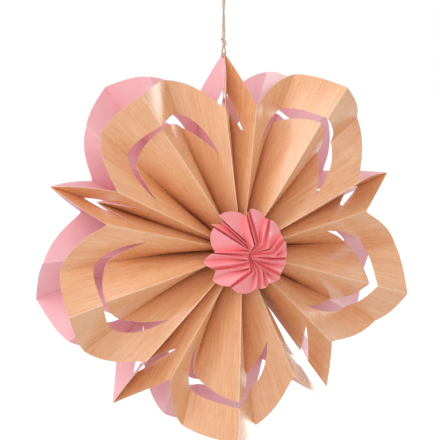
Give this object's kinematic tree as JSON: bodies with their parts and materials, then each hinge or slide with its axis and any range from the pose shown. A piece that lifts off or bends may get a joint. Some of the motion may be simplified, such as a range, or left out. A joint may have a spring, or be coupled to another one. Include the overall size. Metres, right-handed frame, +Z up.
{
  "type": "hanging pleated paper flower",
  "caption": "Hanging flower of pleated, cut paper: wood-look front sheet, pink back sheet joined at the pointed tips, gathered middle rosette and knotted twine loop",
  "frame": {"origin": "underside of the top of the hanging loop, where a hook carries it, on the flower's axis plane", "axes": "+Z up, front of the flower faces -Y, +X to the right as seen from the front"},
  "size_m": [0.2902, 0.1113, 0.3638],
  "materials": {
    "wood_look_paper": "satin light wood-grain print",
    "pink_paper": "satin pink",
    "coral_paper": "satin coral pink",
    "card": "matte",
    "twine": "rough natural fibre"
  },
  "bodies": {
    "root": {"front_sheet": "wood_look_paper", "back_sheet": "pink_paper", "front_disc": "card", "back_disc": "card", "front_rosette": "coral_paper", "back_rosette": "coral_paper", "hanging_twine": "twine", "tie_twine": "twine", "twine_knot": "twine"}
  },
  "joints": []
}
